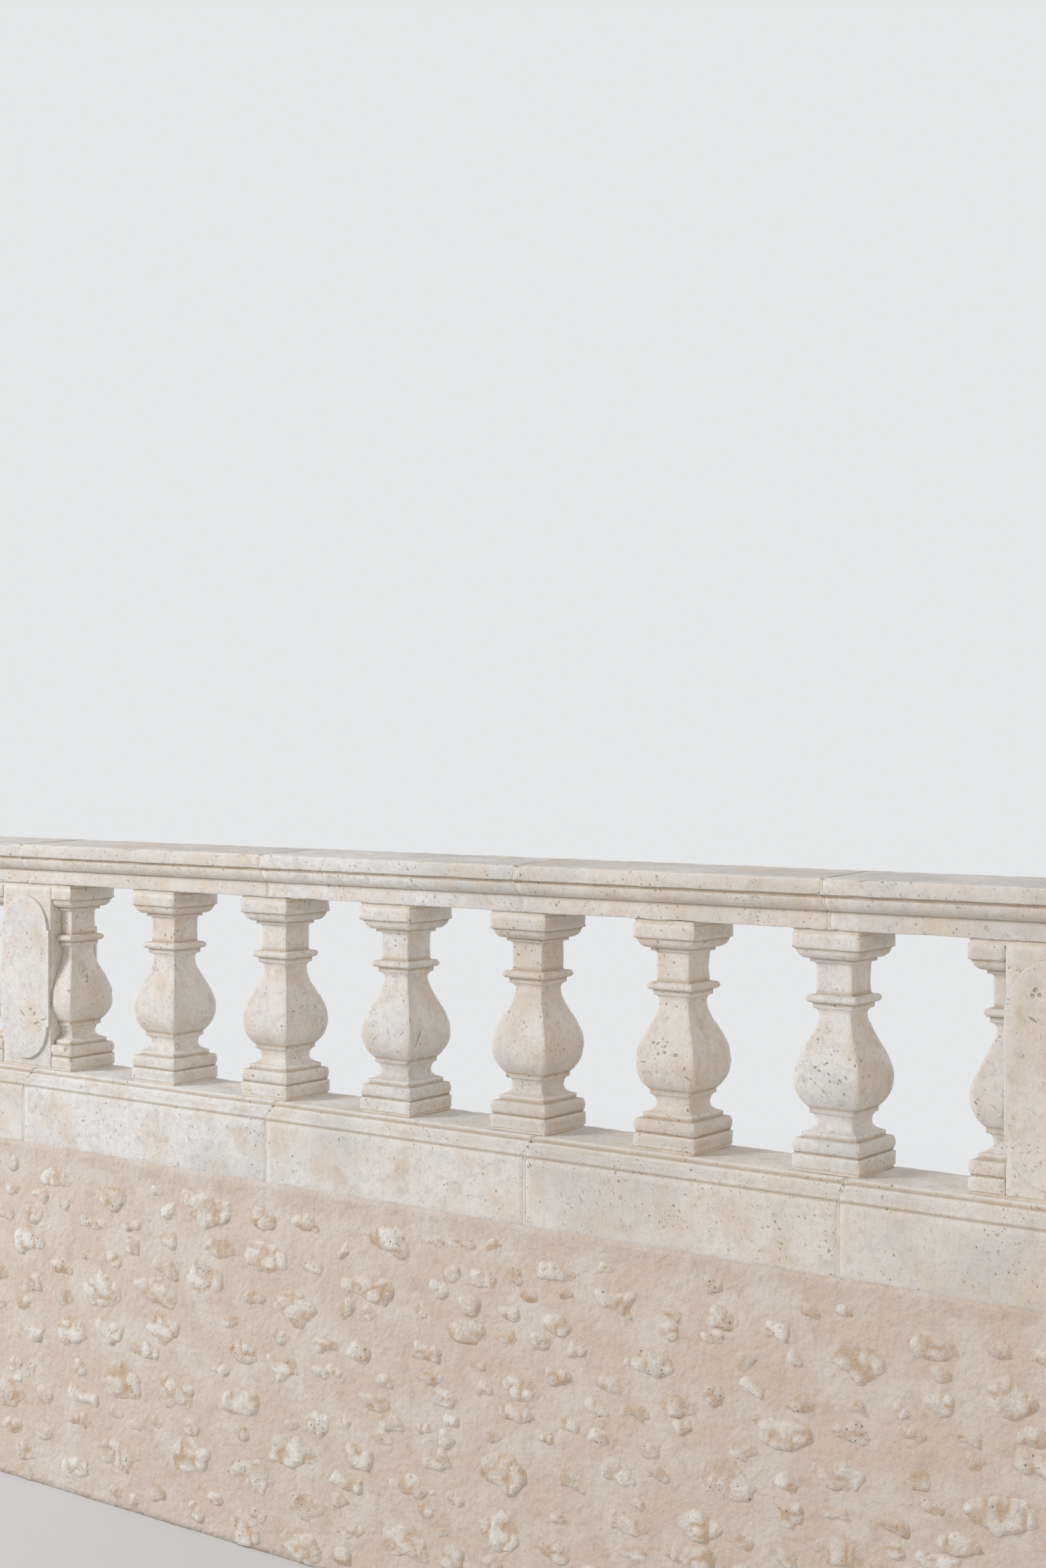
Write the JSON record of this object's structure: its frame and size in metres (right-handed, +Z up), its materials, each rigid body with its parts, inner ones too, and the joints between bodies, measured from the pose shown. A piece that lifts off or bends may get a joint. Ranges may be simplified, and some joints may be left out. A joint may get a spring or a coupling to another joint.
{
  "type": "stone balustrade",
  "caption": "Carved limestone balustrade with square-section balusters, panelled piers, a moulded plinth course and a moulded cap, on a low rubble retaining wall.",
  "frame": {"origin": "ground level under the middle of the run, halfway through the wall", "axes": "+X along the run, +Y from the front to the terrace side, +Z up"},
  "size_m": [7.862, 0.314, 2.175],
  "materials": {
    "limestone": "sawn and carved pale limestone, pitted and weathered",
    "lime_mortar": "lime mortar, struck back and sandy",
    "rubble_masonry": "limestone rubble bedded and pointed in beige lime mortar"
  },
  "bodies": {
    "root": {"rubble_wall": "rubble_masonry", "plinth_stone_1": "limestone", "plinth_stone_2": "limestone", "plinth_stone_3": "limestone", "plinth_stone_4": "limestone", "plinth_stone_5": "limestone", "plinth_stone_6": "limestone", "plinth_stone_7": "limestone", "plinth_stone_8": "limestone", "pier_left": "limestone", "pier_middle": "limestone", "pier_right": "limestone", "half_baluster_1": "limestone", "half_baluster_2": "limestone", "half_baluster_3": "limestone", "half_baluster_4": "limestone", "baluster_left_1": "limestone", "baluster_left_2": "limestone", "baluster_left_3": "limestone", "baluster_left_4": "limestone", "baluster_left_5": "limestone", "baluster_left_6": "limestone", "baluster_right_1": "limestone", "baluster_right_2": "limestone", "baluster_right_3": "limestone", "baluster_right_4": "limestone", "baluster_right_5": "limestone", "baluster_right_6": "limestone", "cap_stone_1": "limestone", "cap_stone_2": "limestone", "cap_stone_3": "limestone", "cap_stone_4": "limestone", "cap_stone_5": "limestone", "cap_stone_6": "limestone", "cap_stone_7": "limestone", "cap_stone_8": "limestone", "mortar_under_balusters": "lime_mortar", "mortar_over_balusters": "lime_mortar", "mortar_in_plinth_joints": "lime_mortar", "mortar_in_cap_joints": "lime_mortar"}
  },
  "joints": []
}
